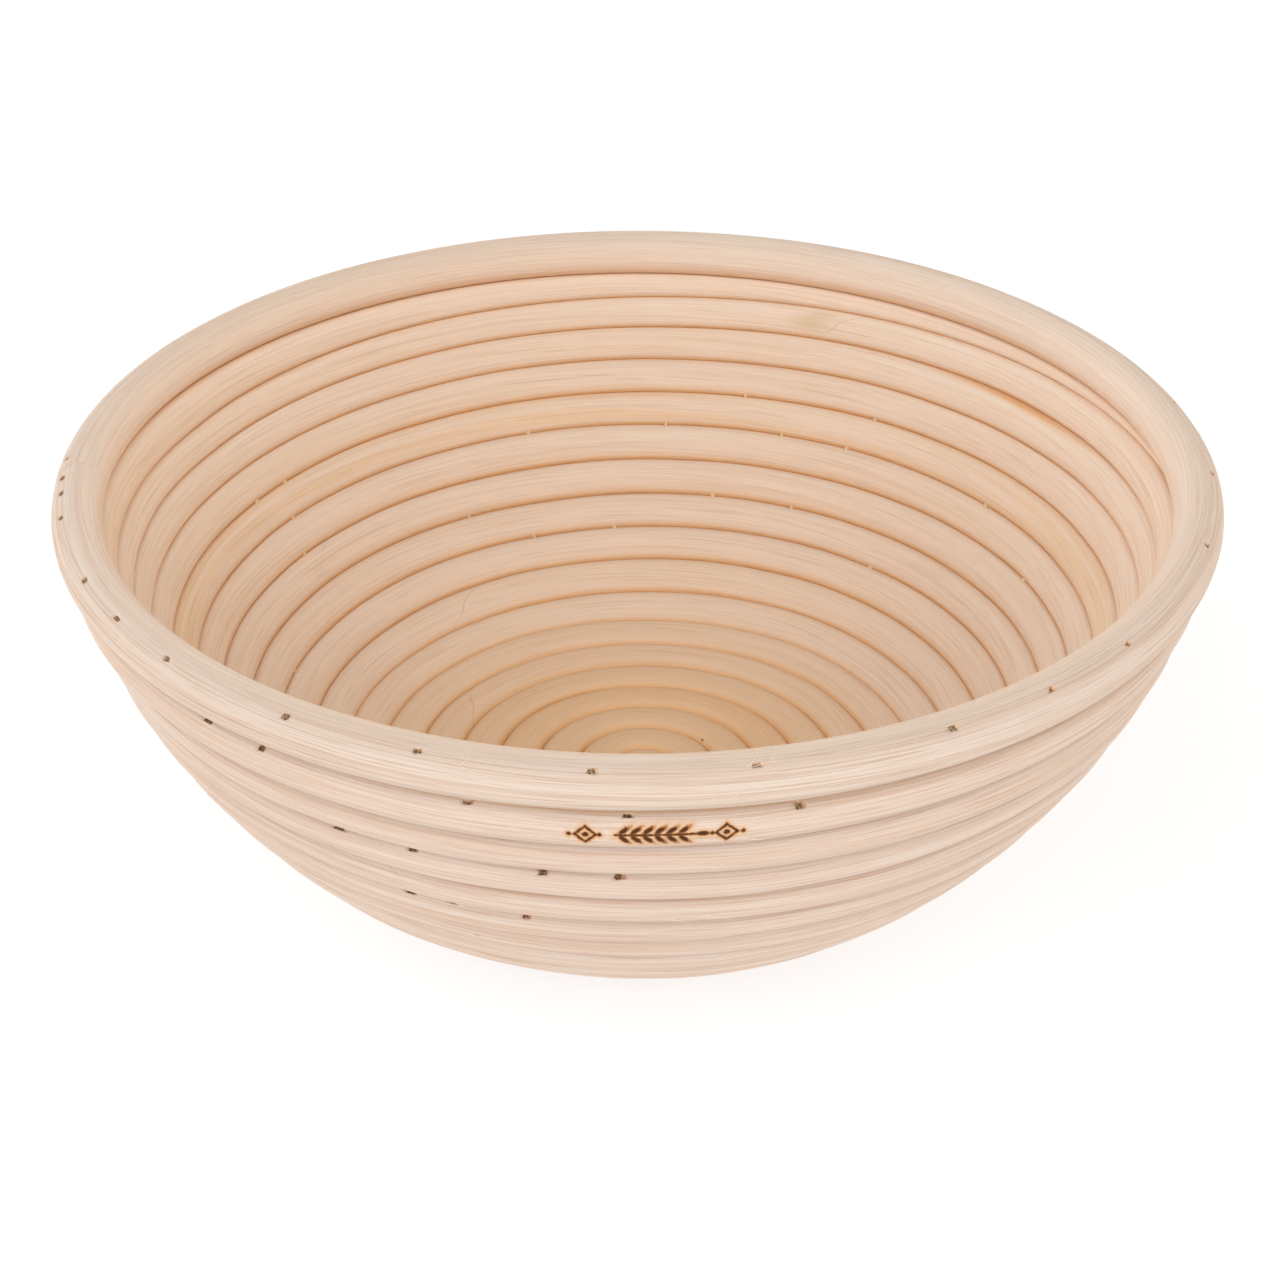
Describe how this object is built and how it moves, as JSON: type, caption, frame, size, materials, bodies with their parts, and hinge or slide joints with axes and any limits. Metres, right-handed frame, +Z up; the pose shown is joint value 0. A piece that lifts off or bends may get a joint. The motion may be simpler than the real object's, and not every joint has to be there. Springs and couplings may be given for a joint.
{
  "type": "proving basket",
  "caption": "Round bread proving basket: a flat-bottomed bowl coiled from lengths of round rattan cane, pinned row to row, with a thicker cane ring as its rim.",
  "frame": {"origin": "centre of the underside, where the basket stands", "axes": "+Z up out of the bowl's mouth; -Y towards the side seen in front, -X towards the rim's seam"},
  "size_m": [0.2504, 0.2504, 0.0916],
  "materials": {
    "rim_cane": "raw unvarnished rattan core, pale cream, fine fibres along the cane",
    "wall_cane": "raw unvarnished rattan core, pale cream to straw, warmer in the grooves",
    "pin_wood": "raw split-wood pins, darkened at the cut end"
  },
  "bodies": {
    "root": {"rim_cane": "rim_cane", "top_wall_cane": "wall_cane", "upper_wall_cane": "wall_cane", "middle_wall_cane": "wall_cane", "lower_wall_cane": "wall_cane", "base_edge_cane": "wall_cane", "base_centre_cane": "wall_cane", "rim_pin_01": "pin_wood", "rim_pin_02": "pin_wood", "rim_pin_03": "pin_wood", "rim_pin_04": "pin_wood", "rim_pin_05": "pin_wood", "rim_pin_06": "pin_wood", "rim_pin_07": "pin_wood", "rim_pin_08": "pin_wood", "rim_pin_09": "pin_wood", "rim_pin_10": "pin_wood", "rim_pin_11": "pin_wood", "rim_pin_12": "pin_wood", "rim_pin_13": "pin_wood", "rim_pin_14": "pin_wood", "rim_pin_15": "pin_wood", "rim_pin_16": "pin_wood", "rim_pin_17": "pin_wood", "rim_pin_18": "pin_wood", "rim_pin_19": "pin_wood", "rim_pin_20": "pin_wood", "rim_pin_21": "pin_wood", "rim_pin_22": "pin_wood", "rim_pin_23": "pin_wood", "rim_pin_24": "pin_wood", "rim_pin_25": "pin_wood", "rim_pin_26": "pin_wood", "rim_pin_27": "pin_wood", "row_pin_01": "pin_wood", "row_pin_02": "pin_wood", "row_pin_03": "pin_wood", "row_pin_04": "pin_wood", "row_pin_05": "pin_wood", "row_pin_06": "pin_wood", "row_pin_07": "pin_wood", "row_pin_08": "pin_wood", "row_pin_09": "pin_wood", "row_pin_10": "pin_wood", "row_pin_11": "pin_wood", "row_pin_12": "pin_wood"}
  },
  "joints": []
}
